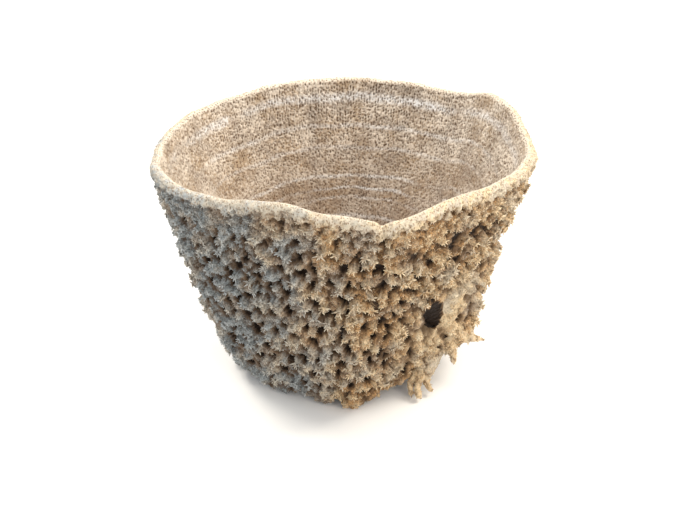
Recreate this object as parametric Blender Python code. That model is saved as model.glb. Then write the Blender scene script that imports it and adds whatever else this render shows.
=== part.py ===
"""A vase-shaped sea sponge: one grown piece, a flared cup with a wavy lip.

The outside is covered with tufts that stand round deep pits, the inside is a smooth bowl, and the
bottom is cut off flat, with a ragged edge and a few root-like holdfasts. All lengths are in
millimetres until the points become a mesh, +Z is up, and the origin is the middle of the flat cut.
"""

import math
import random

import bmesh
import bpy
import numpy as np
from mathutils import Vector
from mathutils.geometry import delaunay_2d_cdt

MM = 0.001
SEED = 7

# Crest of the lip: azimuth in degrees from +X (270 is the front), radius, height
LIP_CREST = (
    (0, 114, 156), (25, 114, 166), (50, 116, 157), (75, 116, 157), (105, 115, 157), (135, 119, 152),
    (160, 116, 152), (180, 115, 150), (205, 113, 153), (228, 105, 155), (248, 109, 164), (268, 115, 163),
    (283, 118, 159), (300, 111, 162), (320, 110, 160), (340, 113, 158),
)
# Lower edge of the outer wall: azimuth, radius, height. Its right side ends in a raised flange.
FOOT_EDGE = (
    (0, 81, 27), (22, 76, 16), (45, 66, 4), (75, 62, 0), (105, 61, 4), (135, 62, 0), (165, 64, 5),
    (190, 72, 4), (205, 73, 8), (218, 68, 6), (230, 64, 1), (243, 61, 6), (254, 63, 2), (264, 62, 5),
    (274, 66, 0), (284, 63, 3), (295, 60, 7), (305, 62, 9), (318, 70, 21), (335, 79, 27), (348, 85, 26),
)
LIP_HALF = 3.5
FLOOR_HEIGHT = 32.0
FLOOR_EDGE = 0.88  # share of the way from the lip to the middle of the floor where its cap starts
CUT_RADIUS = 46.0  # of the flat cut that it rests on
NOTCH_AZIMUTH, NOTCH_WIDTH, NOTCH_DEPTH = 280.5, 1.4, 4.2  # a fold pinched into the lip
BULGE = (200.0, 35.0, 0.26)  # the fuller left side: azimuth, width in degrees, strength
WAIST = (352.0, 38.0, 3.4)  # the drawn-in right side: azimuth, width, depth
RAGGED_FOOT, RAGGED_LIP = 1.7, 0.6  # size of the small waves along the lower edge and the lip

PIT_SPACING, PIT_DEPTH = 9.3, 5.6
LEAST_WALL = 3.0  # between a pit and the bowl
TUFT_SPACING = 4.25
TUFT_HEIGHT = 4.2
RIDGE_HEIGHT = 1.2
UNDERSIDE_ROUGH = 3.2
TUFT_SHARE = 0.45  # of the points round the pits that stand up as tufts
PIT_FADE, TUFT_FADE = 0.24, 0.09  # how far below the lip each reaches its full size, as a share of the wall
FELT_AZIMUTH, FELT_LEVEL = 322.0, 0.30  # middle of the matted, nearly smooth patch
FELT_SIZE = 30.0
FELT_RADIUS, WALL_LENGTH = 90.0, 140.0  # about the wall's radius there, and its length from foot to lip

# A burrow in the outer wall: azimuth, height, half its mouth's width and height
# (each along the wall and up it), length and degrees that it dips
BURROW_AZIMUTH, BURROW_HEIGHT = 313.3, 66.4
BURROW_WIDE = (7.4, -3.4)
BURROW_TALL = (-5.1, 15.0)
BURROW_LENGTH = 12.5
BURROW_DIP = 32.0

# Holdfasts: points from inside the sponge to the tip, each x, y, z and the radius there
HOLDFASTS = (
    ((60.3, -38, 27.9, 5.2), (55.8, -44, 18.7, 4.5), (53.2, -48, 14.0, 3.6), (52.0, -49, 12.0, 2.6)),
    ((49.2, -46, 17.8, 3.2), (43.4, -51, 9.5, 2.2), (43.0, -54, 5.4, 1.7), (43.7, -55.5, 2.9, 2.0)),
    ((50.4, -48, 16.1, 3.5), (47.2, -53, 8.6, 2.3), (48.0, -56.5, 4.8, 2.1), (49.3, -58.5, 2.8, 2.1)),
    ((53.2, -46, 14.6, 3.2), (53.6, -49, 8.0, 2.2), (55.8, -51, 5.1, 1.7), (57.4, -52, 3.5, 1.1)),
    ((67.3, -36, 34.3, 4.5), (69.7, -41.5, 28.7, 2.9), (70.7, -44.5, 23.8, 1.9), (70.7, -46, 21.3, 2.0)),
    ((68.6, -38, 31.8, 3.2), (66.5, -41.5, 29.1, 1.9), (66.0, -42.5, 27.1, 1.5)),
    ((75, -32, 33, 4.5), (82, -31, 31.5, 3.0), (88, -29.5, 29.5, 1.3), (92.3, -28, 27.4, 0.7)),
    ((-50, -32, 14, 6.0), (-54, -36, 10, 4.2), (-57, -38.5, 7, 2.6), (-58, -39.5, 5.5, 2.2)),
    ((-22, 50, 13, 6.0), (-25, 56, 8, 4.0), (-27, 60, 4.5, 2.6), (-28, 62, 3.0, 2.2)),
    ((44, 42, 14, 6.0), (49, 48, 8, 3.8), (52, 51, 4.5, 2.5), (54, 52, 3.0, 2.2)),
)


def ring_value(table, column, azimuth):
    """A column of a ring table at an azimuth, from a smooth closed curve through its rows."""
    count = len(table)
    azimuth = (azimuth - table[0][0]) % 360 + table[0][0]
    row = max(i for i in range(count) if table[i][0] <= azimuth)

    def at(i):
        return table[i % count][0] + 360 * (i // count), table[i % count][column]

    (x0, y0), (x1, y1), (x2, y2), (x3, y3) = (at(row + k) for k in (-1, 0, 1, 2))
    t = (azimuth - x1) / (x2 - x1)
    start = (y2 - y0) / (x2 - x0) * (x2 - x1)
    end = (y3 - y1) / (x3 - x1) * (x2 - x1)
    cube, square = t**3, t**2
    return (
        (2 * cube - 3 * square + 1) * y1 + (cube - 2 * square + t) * start
        + (3 * square - 2 * cube) * y2 + (cube - square) * end
    )


def turned(azimuth, radius, height):
    angle = math.radians(azimuth)
    return np.array((radius * math.cos(angle), radius * math.sin(angle), height))


def angle_between(a, b):
    return abs((a - b + 180) % 360 - 180)


def wave(azimuth, *counts):
    """A small uneven wave round the sponge, its parts given by how often each repeats in a turn."""
    angle = math.radians(azimuth)
    return sum(math.sin(count * angle + count) for count in counts) / len(counts)


def crest(azimuth):
    """Radius and height of the lip's crest, with the pinched fold."""
    dip = NOTCH_DEPTH * math.exp(-((angle_between(azimuth, NOTCH_AZIMUTH) / NOTCH_WIDTH) ** 2))
    radius = ring_value(LIP_CREST, 1, azimuth) + RAGGED_LIP * wave(azimuth, 9, 16, 25)
    return radius - dip, ring_value(LIP_CREST, 2, azimuth) + RAGGED_LIP * wave(azimuth, 13, 21) - dip


def foot(azimuth):
    """Radius and height of the ragged lower edge, which never goes below the cut."""
    radius = ring_value(FOOT_EDGE, 1, azimuth) + RAGGED_FOOT * wave(azimuth, 15, 22, 31)
    return radius, max(0.0, ring_value(FOOT_EDGE, 2, azimuth) + RAGGED_FOOT * wave(azimuth, 19, 27))


def at_side(azimuth, side):
    """A smooth hill over one side of the sponge, of the side's width and strength."""
    middle, width, strength = side
    return strength * math.exp(-((angle_between(azimuth, middle) / width) ** 2))


def outer_wall(azimuth, t):
    """From the foot edge, t 0, up to the lip, t 1. It bellies a little except over the flange."""
    radius, height = crest(azimuth)
    foot_radius, foot_height = foot(azimuth)
    belly = 0.17 - 0.32 * math.cos(math.radians(azimuth)) + at_side(azimuth, BULGE)
    share = t + belly * t * (1 - t) ** 2
    radius = foot_radius + (radius + LIP_HALF - foot_radius) * share
    radius -= 6.75 * t**2 * (1 - t) * at_side(azimuth, WAIST)
    return turned(azimuth, radius, foot_height + (height - LIP_HALF - foot_height) * t)


def lip(azimuth, t):
    """Over the rounded lip, from the outside, t 0, to the inside, t 1."""
    radius, height = crest(azimuth)
    over = math.pi * t
    return turned(azimuth, radius + LIP_HALF * math.cos(over), height - LIP_HALF * (1 - math.sin(over)))


def inner_wall(azimuth, t):
    """From the lip, t 0, down and in to the middle of the floor, t 1."""
    radius, height = crest(azimuth)
    drop = (height - LIP_HALF - FLOOR_HEIGHT) * (1 - t) ** 2
    return turned(azimuth, (radius - LIP_HALF) * (1 - t) ** 0.78, FLOOR_HEIGHT + drop)


def underside(azimuth, t):
    """From the foot edge, t 0, in to the flat cut, t 1."""
    foot_radius, foot_height = foot(azimuth)
    cut_radius = CUT_RADIUS + RAGGED_FOOT * wave(azimuth, 4, 7, 11)
    return turned(azimuth, foot_radius + (cut_radius - foot_radius) * t, foot_height * (1 - t) ** 1.3)


def outward(surface, azimuth, t):
    """Unit normal of a surface, pointing away from the sponge's inside for the outer wall."""
    step = 0.01
    low, high = max(0.0, t - step), min(1.0, t + step)
    along = surface(azimuth + 0.5, t) - surface(azimuth - 0.5, t)
    up = surface(azimuth, high) - surface(azimuth, low)
    normal = np.cross(along, up)
    return normal / np.linalg.norm(normal)


def relief(azimuth, t, fade):
    """Strength of the tufts or pits: they fade towards the lip and on the matted patch by the flange."""
    lip_fade = min(1.0, max(0.0, (0.985 - t) / fade))
    across = math.radians(angle_between(azimuth, FELT_AZIMUTH)) * FELT_RADIUS
    up = (t - FELT_LEVEL) * WALL_LENGTH
    felt = math.exp(-(across**2 + up**2) / FELT_SIZE**2)
    return lip_fade * (1 - 0.7 * felt)


def scatter(surface, spacing, tries, low, high, taken, draw):
    """Random places between two levels, the spacing or more from each other and from those taken."""
    places = []
    points = [surface(azimuth, t) for azimuth, t in taken]
    filled = np.zeros((len(points) + tries, 3))
    if points:
        filled[: len(points)] = points
    used = len(points)
    for _ in range(tries):
        azimuth, t = draw.uniform(0, 360), draw.uniform(low, high)
        point = surface(azimuth, t)
        if draw.random() > math.hypot(point[0], point[1]) / 125:  # keeps it even as the wall narrows
            continue
        if used and ((filled[:used] - point) ** 2).sum(1).min() < spacing**2:
            continue
        filled[used] = point
        used += 1
        places.append((azimuth, t))
    return places


def ring(count, t):
    return [(360 * i / count, t) for i in range(count)]


def flat_levels(surface):
    """A function from t to a height in the plane where the surface unrolls with its angles kept."""
    steps = 120
    heights = [0.0]
    for i in range(steps):
        here = np.array([surface(a, i / steps) for a in range(0, 360, 30)])
        there = np.array([surface(a, (i + 1) / steps) for a in range(0, 360, 30)])
        length = np.linalg.norm(there - here, axis=1).mean()
        radius = np.hypot(here[:, 0], here[:, 1]).mean()
        heights.append(heights[-1] + length / radius)
    return lambda t: float(np.interp(t, np.linspace(0, 1, steps + 1), heights))


def add_band(mesh, surface, low, high, inside):
    """Triangles over a closed band between two rings of places, low and high, through the places inside.

    Each place inside is an azimuth, a level and how far its point stands off the surface."""
    level = flat_levels(surface)
    places = [(a, t, 0.0) for a, t in low + high] + inside
    corners = []
    for azimuth, t, lift in places:
        point = surface(azimuth, t)
        if lift:
            point = point + outward(surface, azimuth, t) * lift
        point[2] = max(point[2], 0.0)
        corners.append(mesh.verts.new(Vector(point * MM)))
    flat, source, rings = [], [], []
    for turn in (-1, 0, 1):  # copies on both sides close the band on itself
        first = len(flat)
        for i, (azimuth, t, _) in enumerate(places):
            if turn == 0 or (turn < 0 and azimuth > 300) or (turn > 0 and azimuth < 60):
                flat.append(Vector((math.radians(azimuth + 360 * turn), level(t))))
                source.append(i)
        rings += [i for i in range(first, len(flat)) if source[i] < len(low) + len(high)]
    edges = []
    for is_low in (True, False):
        row = sorted((i for i in rings if (source[i] < len(low)) == is_low), key=lambda i: flat[i].x)
        edges += list(zip(row, row[1:]))
    _, _, triangles, origin, _, _ = delaunay_2d_cdt(flat, edges, [], 0, 1e-7)
    for triangle in triangles:
        ids = [origin[v][0] for v in triangle]
        middle = sum(flat[i].x for i in ids) / 3
        if 0 <= middle < 2 * math.pi:
            mesh.faces.new([corners[source[i]] for i in ids])


def deepest_pit(azimuth, t):
    """How deep a pit may be, from how thick the wall is at its height."""
    radius, height = crest(azimuth)
    x, y, z = outer_wall(azimuth, t)
    share = max(0.0, (z - FLOOR_HEIGHT) / (height - LIP_HALF - FLOOR_HEIGHT))
    bowl_radius = (radius - LIP_HALF) * math.sqrt(share) ** 0.78
    return max(0.0, 0.85 * (math.hypot(x, y) - bowl_radius) - LEAST_WALL)


def tufted_places(edges, draw):
    """The pits of the outer wall, and the ridges and tufts that stand round them."""
    pits = scatter(outer_wall, PIT_SPACING, 24000, 0.05, 0.93, edges, draw)
    round_pits = scatter(outer_wall, TUFT_SPACING, 70000, 0.03, 0.975, edges + pits, draw)
    places = []
    for azimuth, t in pits:
        depth = PIT_DEPTH * draw.uniform(0.75, 1.2) * relief(azimuth, t, PIT_FADE)
        places.append((azimuth, t, -min(depth, deepest_pit(azimuth, t))))
    for azimuth, t in round_pits:
        height = TUFT_HEIGHT if draw.random() < TUFT_SHARE else RIDGE_HEIGHT
        places.append((azimuth, t, height * draw.uniform(0.7, 1.15) * relief(azimuth, t, TUFT_FADE)))
    return places


def plain_places(surface, spacing, low, high, rings, draw, rough=0.0):
    return [
        (azimuth, t, draw.uniform(-rough, rough))
        for azimuth, t in scatter(surface, spacing, 5000, low, high, rings, draw)
    ]


def add_cap(mesh, surface, count, t, middle):
    """A flat or dished cap from a ring to its middle point."""
    rim = [mesh.verts.new(Vector(surface(a, level) * MM)) for a, level in ring(count, t)]
    centre = mesh.verts.new(Vector(middle) * MM)
    for i in range(count):
        mesh.faces.new((rim[i], rim[(i + 1) % count], centre))


def sponge_mesh():
    draw = random.Random(SEED)
    foot_ring, top, inside = ring(72, 0.0), ring(84, 1.0), ring(60, 1.0)
    mesh = bmesh.new()
    add_band(mesh, outer_wall, foot_ring, top, tufted_places(foot_ring + top, draw))
    add_band(mesh, lip, ring(84, 0.0), inside, [(a + 2.1, 0.5, 0.0) for a, _ in ring(84, 0.5)])
    floor = ring(16, FLOOR_EDGE)
    bowl = plain_places(inner_wall, 13.0, 0.04, FLOOR_EDGE - 0.06, ring(60, 0.0) + floor, draw, 0.5)
    add_band(mesh, inner_wall, ring(60, 0.0), floor, bowl)
    add_cap(mesh, inner_wall, 16, FLOOR_EDGE, (0, 0, FLOOR_HEIGHT))
    cut = ring(32, 1.0)
    lumps = plain_places(underside, 5.6, 0.1, 0.85, foot_ring + cut, draw, UNDERSIDE_ROUGH)
    below = [(a, t, lift * min(1.0, underside(a, t)[2] / 10)) for a, t, lift in lumps]
    add_band(mesh, underside, foot_ring, cut, below)
    add_cap(mesh, underside, 32, 1.0, (0, 0, 0))
    bmesh.ops.remove_doubles(mesh, verts=mesh.verts, dist=0.01 * MM)
    bmesh.ops.recalc_face_normals(mesh, faces=mesh.faces)
    return mesh


def new_object(name, mesh, collection):
    data = bpy.data.meshes.new(name)
    mesh.to_mesh(data)
    mesh.free()
    made = bpy.data.objects.new(name, data)
    collection.objects.link(made)
    return made


def burrow_cutter(collection):
    """An egg-shaped hollow with a leaning mouth, running into the wall and down."""
    low, high = foot(BURROW_AZIMUTH)[1], crest(BURROW_AZIMUTH)[1] - LIP_HALF
    level = (BURROW_HEIGHT - low) / (high - low)
    place = Vector(outer_wall(BURROW_AZIMUTH, level))
    along = Vector(outer_wall(BURROW_AZIMUTH + 1, level)) - Vector(outer_wall(BURROW_AZIMUTH - 1, level))
    up = Vector(outer_wall(BURROW_AZIMUTH, level + 0.01)) - Vector(outer_wall(BURROW_AZIMUTH, level - 0.01))
    along.normalize()
    up.normalize()
    wide = along * BURROW_WIDE[0] + up * BURROW_WIDE[1]
    tall = along * BURROW_TALL[0] + up * BURROW_TALL[1]
    inward = -Vector((place.x, place.y, 0)).normalized()
    dip = math.radians(BURROW_DIP)
    into = (inward * math.cos(dip) - Vector((0, 0, math.sin(dip)))) * BURROW_LENGTH
    mesh = bmesh.new()
    bmesh.ops.create_icosphere(mesh, subdivisions=2, radius=1.0)
    for corner in mesh.verts:
        corner.co = (place + wide * corner.co.x + into * corner.co.y + tall * corner.co.z) * MM
    return new_object("burrow_cutter", mesh, collection)


def holdfast(name, points, collection):
    """A tapering root with a rounded tip, as a closed mesh."""
    curve = bpy.data.curves.new(name, "CURVE")
    curve.dimensions = "3D"
    curve.bevel_depth = MM
    curve.bevel_resolution = 2
    curve.use_fill_caps = True
    spline = curve.splines.new("POLY")
    tip = points[-1]
    way = Vector(tip[:3]) - Vector(points[-2][:3])
    rounded = (*(Vector(tip[:3]) + way.normalized() * tip[3] * 0.7), tip[3] * 0.45)
    points = (*points, rounded)
    spline.points.add(len(points) - 1)
    for place, (x, y, z, radius) in zip(spline.points, points):
        place.co = (x * MM, y * MM, z * MM, 1)
        place.radius = radius
    shape = bpy.data.objects.new(name, curve)
    collection.objects.link(shape)
    graph = bpy.context.evaluated_depsgraph_get()
    data = bpy.data.meshes.new_from_object(shape.evaluated_get(graph))
    mesh = bmesh.new()
    mesh.from_mesh(data)
    mesh.transform(shape.matrix_world)
    bmesh.ops.remove_doubles(mesh, verts=mesh.verts, dist=0.01 * MM)
    for vertex in mesh.verts:
        vertex.co.z = max(vertex.co.z, 0.3 * MM)
    bpy.data.objects.remove(shape)
    bpy.data.curves.remove(curve)
    bpy.data.meshes.remove(data)
    return new_object(name, mesh, collection)


def sponge_material():
    material = bpy.data.materials.new("dried sponge")
    material.use_nodes = True
    shader = material.node_tree.nodes["Principled BSDF"]
    shader.inputs["Base Color"].default_value = (0.55, 0.42, 0.27, 1.0)
    shader.inputs["Roughness"].default_value = 0.95
    shader.inputs["Metallic"].default_value = 0.0
    return material


def helper(made):
    made.hide_render = True
    made.display_type = "WIRE"
    return made


def boolean(target, tool, operation):
    modifier = target.modifiers.new(tool.name, "BOOLEAN")
    modifier.operation = operation
    modifier.object = tool


def main():
    for old in list(bpy.data.objects):
        bpy.data.objects.remove(old)
    parts = bpy.data.collections.new("sea sponge")
    helpers = bpy.data.collections.new("cutters")
    bpy.context.scene.collection.children.link(parts)
    bpy.context.scene.collection.children.link(helpers)
    sponge = new_object("sponge", sponge_mesh(), parts)
    sponge.data.materials.append(sponge_material())
    sponge.data.shade_smooth()
    sponge.data.set_sharp_from_angle(angle=math.radians(35))
    for i, points in enumerate(HOLDFASTS):
        boolean(sponge, helper(holdfast(f"holdfast_{i + 1}", points, helpers)), "UNION")
    boolean(sponge, helper(burrow_cutter(helpers)), "DIFFERENCE")


main()
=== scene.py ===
import math

import bpy
import numpy as np
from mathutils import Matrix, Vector, kdtree, noise


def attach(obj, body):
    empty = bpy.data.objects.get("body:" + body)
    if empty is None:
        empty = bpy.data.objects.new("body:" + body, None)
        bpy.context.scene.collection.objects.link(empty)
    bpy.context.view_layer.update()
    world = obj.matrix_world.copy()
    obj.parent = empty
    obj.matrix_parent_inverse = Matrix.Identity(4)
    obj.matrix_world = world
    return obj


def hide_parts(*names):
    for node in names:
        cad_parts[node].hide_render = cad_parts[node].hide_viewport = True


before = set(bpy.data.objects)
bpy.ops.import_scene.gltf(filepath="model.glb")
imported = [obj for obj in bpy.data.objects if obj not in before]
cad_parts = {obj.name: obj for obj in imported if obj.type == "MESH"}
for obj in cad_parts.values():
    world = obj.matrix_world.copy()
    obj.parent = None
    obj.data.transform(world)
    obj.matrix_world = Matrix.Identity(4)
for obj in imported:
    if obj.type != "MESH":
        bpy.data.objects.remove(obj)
scene = bpy.context.scene
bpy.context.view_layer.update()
rng = np.random.default_rng(11)
noise.seed_set(11)  # noise_vector draws its offsets from this seed
print("frame loaded:", len(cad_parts["sponge"].data.vertices), "corners in the solid")

# the grown shape, in millimetres
cup = {
    "lip": (  # crest: azimuth from +X, radius, height
        (0, 114, 156), (25, 114, 166), (50, 116, 157), (75, 116, 157), (105, 115, 157), (135, 119, 152),
        (160, 116, 152), (180, 115, 150), (205, 113, 153), (228, 105, 155), (248, 109, 164), (268, 115, 163),
        (283, 118, 159), (300, 111, 162), (320, 110, 160), (340, 113, 158),
    ),
    "foot": (  # ragged lower edge: azimuth, radius, height
        (0, 81, 27), (22, 76, 16), (45, 66, 4), (75, 62, 0), (105, 61, 4), (135, 62, 0), (165, 64, 5),
        (190, 72, 4), (205, 73, 8), (218, 68, 6), (230, 64, 1), (243, 61, 6), (254, 63, 2), (264, 62, 5),
        (274, 66, 0), (284, 63, 3), (295, 60, 7), (305, 62, 9), (318, 70, 21), (335, 79, 27), (348, 85, 26),
    ),
    "lipHalf": 3.5,
    "floorHeight": 32.0,
    "cutRadius": 46.0,
    "ragged": (1.7, 0.6),  # foot, lip
    "burrow": (313.3, 66.4, 32.0),  # azimuth, height, dip in degrees
    "burrowHalf": ((7.4, -3.4), (-5.1, 15.0), 12.5),  # half its mouth, along the wall and up it; length
    "felt": (322.0, 0.30, 30.0),  # azimuth, level and size of the matted patch
}
sides = {  # what changes round the cup: azimuth, width in degrees, strength
    "bulge": (200.0, 35.0, 0.26),  # the fuller left
    "waist": (352.0, 38.0, 3.4),  # the drawn-in right
    "notch": (280.5, 1.4, 4.2),  # the pinched fold in the lip
    "finer": (203, 30, 0.20),  # smaller tufts on the left of the front
    "knobbly": (345, 40, 0.20),  # larger ones on the right
    # greyer here: partly the sponge's own tone, partly painted cool shade
    "grey": (212, 40, 0.62),
    # warmer here: partly the sponge's own tone, partly painted warm light
    "warm": (322, 46, 0.42),
    "shaded": (325, 34, 0.22),  # darker pits: more painted shade in them here
    "narrowBand": (205, 45, 0.028),  # less cream under the lip
    "duller": (205, 60, 1.0),  # less cream on the lip
}


def smooth(low, high, x):
    s = np.clip((x - low) / (high - low), 0.0, 1.0)
    return s * s * (3 - 2 * s)


def ringCurve(rows, column):  # a closed smooth curve through the rows, as a function of azimuth
    az = np.array([row[0] for row in rows], float)
    val = np.array([row[column] for row in rows], float)
    az = np.concatenate((az[-2:] - 360, az, az[:3] + 360))
    val = np.concatenate((val[-2:], val, val[:3]))
    slope = np.zeros_like(val)
    slope[1:-1] = (val[2:] - val[:-2]) / (az[2:] - az[:-2])

    def at(a):
        a = np.mod(a - rows[0][0], 360) + rows[0][0]
        i = np.searchsorted(az, a, side="right") - 1
        width = az[i + 1] - az[i]
        t = (a - az[i]) / width
        cube, square = t**3, t**2
        return (
            (2 * cube - 3 * square + 1) * val[i] + (cube - 2 * square + t) * slope[i] * width
            + (3 * square - 2 * cube) * val[i + 1] + (cube - square) * slope[i + 1] * width
        )

    return at


lipRadius, lipHeight = ringCurve(cup["lip"], 1), ringCurve(cup["lip"], 2)
footRadius, footHeight = ringCurve(cup["foot"], 1), ringCurve(cup["foot"], 2)


def wave(a, *counts):
    return sum(np.sin(count * np.radians(a) + count) for count in counts) / len(counts)


def apart(a, b):
    return np.abs(np.mod(a - b + 180, 360) - 180)


def atSide(a, side, power=2):
    middle, width, strength = sides[side]
    return strength * np.exp(-((apart(a, middle) / width) ** power))


def crest(a):
    dip = atSide(a, "notch")
    small = cup["ragged"][1]
    return lipRadius(a) + small * wave(a, 9, 16, 25) - dip, lipHeight(a) + small * wave(a, 13, 21) - dip


def foot(a):
    small = cup["ragged"][0]
    height = footHeight(a) + small * wave(a, 19, 27)
    return footRadius(a) + small * wave(a, 15, 22, 31), np.maximum(0, height)


def levelOf(a, height):  # 0 at the foot of the wall and 1 under the lip
    low, high = foot(a)[1], crest(a)[1] - cup["lipHalf"]
    return (height - low) / (high - low)


def azimuthOf(points):
    return np.degrees(np.arctan2(points[:, 1], points[:, 0])) % 360


def turned(a, r, z):
    return np.stack((r * np.cos(np.radians(a)), r * np.sin(np.radians(a)), z + 0 * r), axis=-1)


def outerWall(a, t):
    r, z = crest(a)
    r0, z0 = foot(a)
    belly = 0.17 - 0.32 * np.cos(np.radians(a)) + atSide(a, "bulge")
    share = t + belly * t * (1 - t) ** 2
    radius = r0 + (r + cup["lipHalf"] - r0) * share - 6.75 * t**2 * (1 - t) * atSide(a, "waist")
    return turned(a, radius, z0 + (z - cup["lipHalf"] - z0) * t)


def lipTop(a, t):
    r, z = crest(a)
    half = cup["lipHalf"]
    return turned(a, r + half * np.cos(np.pi * t), z - half * (1 - np.sin(np.pi * t)))


def innerWall(a, t):
    r, z = crest(a)
    t = np.minimum(t, 1.0)
    drop = (z - cup["lipHalf"] - cup["floorHeight"]) * (1 - t) ** 2
    return turned(a, (r - cup["lipHalf"]) * (1 - t) ** 0.78, cup["floorHeight"] + drop)


def cutEdge(a):
    return cup["cutRadius"] + cup["ragged"][0] * wave(a, 4, 7, 11)


def underside(a, t):
    r0, z0 = foot(a)
    return turned(a, r0 + (cutEdge(a) - r0) * t, z0 * (1 - t) ** 1.3)


def cutFace(a, t):
    return turned(a, cutEdge(a) * (1 - t), 0.0 * a)


def normalOf(surface, a, t):
    step = 0.004
    low, high = np.clip(t - step, 0, 1), np.clip(t + step, 0, 1)
    along = surface(a + 0.3, t) - surface(a - 0.3, t)
    up = surface(a, high) - surface(a, low)
    n = np.cross(along, up)
    return n / np.maximum(np.linalg.norm(n, axis=-1, keepdims=True), 1e-9)


def runOf(line):  # the length along a line of points, or along several side by side
    steps = np.linalg.norm(np.diff(line, axis=0), axis=-1)
    return np.concatenate(([0], np.cumsum(steps if steps.ndim == 1 else steps.mean(1))))


# rings of points, and a closed skin over them
def ringsOf(surface, low, high, spacing, ends=(True, True), up=1.0):
    # evenly spaced rings between two levels; each is (azimuths, points, normals, levels)
    fine = np.linspace(low, high, 200)
    probe = np.arange(0, 360, 30.0)
    line = np.array([surface(probe, np.full(len(probe), t)) for t in fine])
    run = runOf(line)
    count = max(2, int(round(run[-1] / (spacing * 0.88))))
    levels = np.interp(np.linspace(0, run[-1], count + 1), run, fine)
    rings = []
    for k, t in enumerate(levels):
        if (k == 0 and not ends[0]) or (k == count and not ends[1]):
            continue
        r = np.hypot(*surface(probe, np.full(len(probe), t))[:, :2].T).mean()
        n = max(8, int(round(2 * math.pi * r / spacing)))
        a = (np.arange(n) + 0.5 * (k % 2)) * 360.0 / n
        level = np.full(n, t)
        rings.append((a, surface(a, level), up * normalOf(surface, a, level), level))
    return rings


def stitched(rings):
    # triangles between rings that may hold different numbers of points, closed by a pole at each end
    starts = np.cumsum([1] + [len(ring[0]) for ring in rings])
    faces = []
    for k in range(len(rings) - 1):
        low, high = rings[k][0], rings[k + 1][0]
        n, m = len(low), len(high)
        i = j = 0
        while i < n or j < m:
            nextLow = low[(i + 1) % n] + 360 * ((i + 1) // n) if i < n else 1e9
            nextHigh = high[(j + 1) % m] + 360 * ((j + 1) // m) if j < m else 1e9
            p, q = starts[k] + i % n, starts[k + 1] + j % m
            if nextLow <= nextHigh:
                faces.append((p, starts[k] + (i + 1) % n, q))
                i += 1
            else:
                faces.append((p, starts[k + 1] + (j + 1) % m, q))
                j += 1
    n, m, last = len(rings[0][0]), len(rings[-1][0]), int(starts[-1])
    faces += [(0, starts[0] + (i + 1) % n, starts[0] + i) for i in range(n)]
    faces += [(last, starts[-2] + i, starts[-2] + (i + 1) % m) for i in range(m)]
    return np.array(faces)


def linked(name, data):
    made = bpy.data.objects.new(name, data)
    scene.collection.objects.link(made)
    return made


def stamp(data, name, values, kind="FLOAT", field="value"):
    typed = values.astype(np.int32 if kind == "INT" else np.float32)
    data.attributes.new(name, kind, "POINT").data.foreach_set(field, typed.ravel())


def meshFrom(name, points, faces, values, material, sharpRing=None):
    data = bpy.data.meshes.new(name)
    data.from_pydata((points * 0.001).tolist(), [], faces.tolist())
    data.shade_smooth()
    for key, value in values.items():
        stamp(data, key, value)
    if sharpRing is not None:  # the two skins meet here, and each is shaded on its own side only
        ends = np.zeros(len(data.edges) * 2, np.int32)
        data.edges.foreach_get("vertices", ends)
        inRing = (ends >= sharpRing[0]) & (ends < sharpRing[1])
        sharp = data.attributes.new("sharp_edge", "BOOLEAN", "EDGE")
        sharp.data.foreach_set("value", inRing.reshape(-1, 2).all(1))
    data.materials.append(material)
    return linked(name, data)


def noiseOf(points, size, seed=0.0, pattern=noise.noise):
    shift = Vector((seed * 17.3, seed * 5.1, -seed * 9.7))
    return np.array([pattern(Vector(p) / size + shift) for p in points.tolist()])


def noiseVectors(points, size, seed=0.0):
    return noiseOf(points, size, seed, noise.noise_vector)


def layers(points, rows):  # a sum of noises: strength, size and seed of each
    return sum(strength * noiseOf(points, size, seed) for strength, size, seed in rows)


def treeOf(points):
    tree = kdtree.KDTree(len(points))
    for i, p in enumerate(points.tolist()):
        tree.insert(p, i)
    tree.balance()
    return tree


def nearest(tree, points, count):
    index = np.zeros((len(points), count), int)
    dist = np.full((len(points), count), 1e3)
    for k, p in enumerate(points.tolist()):
        for m, (_, i, d) in enumerate(tree.find_n(p, count)):
            index[k, m], dist[k, m] = i, d
    return index, dist


def sparse(candidates, points, gap):
    # a seeded choice of points no nearer to each other than the gap
    taken, chosen = {}, []
    around = [(x, y, z) for x in (-1, 0, 1) for y in (-1, 0, 1) for z in (-1, 0, 1)]
    for k in rng.permutation(candidates).tolist():
        p = points[k]
        x, y, z = np.floor(p / gap).astype(int).tolist()
        close = [taken[x + i, y + j, z + m] for i, j, m in around if (x + i, y + j, z + m) in taken]
        if any((q[0] - p[0]) ** 2 + (q[1] - p[1]) ** 2 + (q[2] - p[2]) ** 2 < gap * gap for q in close):
            continue
        taken[x, y, z] = p
        chosen.append(k)
    return np.array(chosen, int)


def feltShare(a, t):
    where, level, size = cup["felt"]
    across, up = np.radians(apart(a, where)) * 90, (t - level) * 140
    return np.exp(-(across**2 + up**2) / size**2)


# tufts and pits, where the solid has them; heights are off the plain wall
relief = {
    "tallest": 5.4,
    "deepest": 7.3,
    "tuft": 1.8,  # at least
    "pit": -0.4,  # at most
    "clearOfBurrow": 11,
    "levels": (0.02, 0.99),
}


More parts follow.
